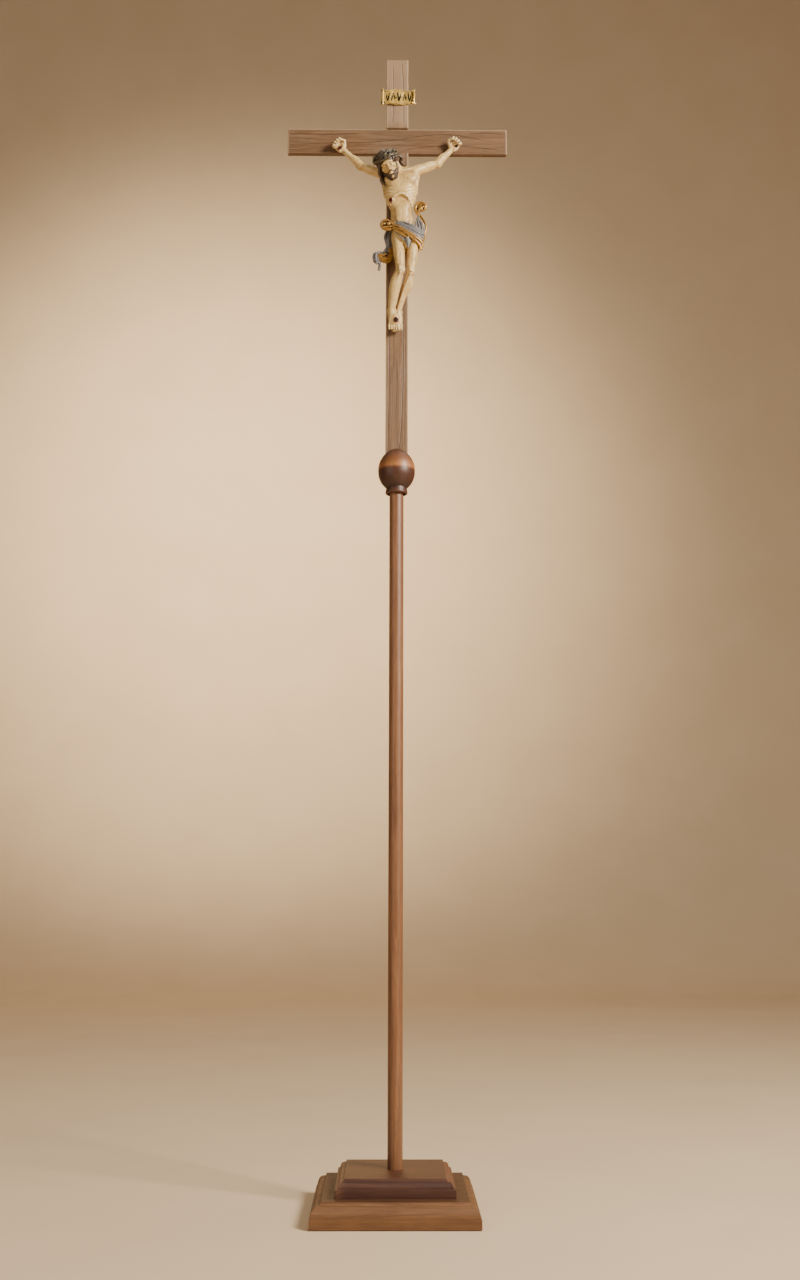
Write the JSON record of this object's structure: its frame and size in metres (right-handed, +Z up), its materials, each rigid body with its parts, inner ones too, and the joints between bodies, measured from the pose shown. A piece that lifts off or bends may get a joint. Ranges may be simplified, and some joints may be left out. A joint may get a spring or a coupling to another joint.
{
  "type": "altar cross",
  "caption": "Standing altar crucifix: carved figure on a flat wooden cross that plugs into a turned knob on a round staff, in a moulded square two-step base.",
  "frame": {"origin": "on the floor, under the middle of the base's four felt pads", "axes": "+Z up, +X to the viewer's right, the figure faces -Y"},
  "size_m": [0.454, 0.3, 2.289],
  "materials": {
    "base_wood": "waxed walnut brown, worn edges",
    "base_wood_dark": "waxed darker brown, worn edges",
    "pole_wood": "satin varnish",
    "knob_wood": "glossy dark stain with a lighter band",
    "board_wood": "waxed weathered board with carved grain",
    "board_wood_bar": "waxed weathered board with carved grain",
    "dowel_wood": "raw",
    "skin_paint": "carved, painted ivory with brown patina",
    "hair_paint": "carved, painted dark brown",
    "crown_paint": "carved, painted dark olive",
    "cloth_paint": "carved, painted grey blue with brown patina",
    "gilding": "gilded carving, antiqued",
    "iron": "dark iron",
    "steel": "zinc plated",
    "felt": "brown felt"
  },
  "bodies": {
    "base": {"base_plinth": "base_wood", "base_step": "base_wood_dark", "base_screws": "steel", "base_felt_pads": "felt"},
    "disc": {"socket_disc": "felt"},
    "staff": {"staff_pole": "pole_wood", "staff_knob": "knob_wood", "knob_screw": "steel"},
    "cross": {"cross_upright": "board_wood", "cross_bar": "board_wood_bar", "lap_screws": "steel", "title_scroll": "gilding", "title_pins": "iron", "corpus_trunk": "skin_paint", "corpus_hair": "hair_paint", "crown_of_thorns": "crown_paint", "corpus_arm_left": "skin_paint", "corpus_arm_right": "skin_paint", "shoulder_dowels": "dowel_wood", "loincloth_wrap": "cloth_paint", "loincloth_knot": "gilding", "loincloth_wing": "gilding", "loincloth_tail": "gilding", "hand_nails": "iron", "foot_nail": "iron", "figure_screws": "steel"}
  },
  "joints": [
    {"name": "staff_turn", "type": "hinge", "parent": "base", "child": "disc", "pos_m": [0, 0, 0.012], "axis": [0, 0, 1], "continuous": true},
    {"name": "staff_lift", "type": "slide", "parent": "disc", "child": "staff", "axis": [0, 0, 1], "range_m": [0, 0.08]},
    {"name": "cross_lift", "type": "slide", "parent": "staff", "child": "cross", "axis": [0, 0, 1], "range_m": [0, 0.05]}
  ]
}
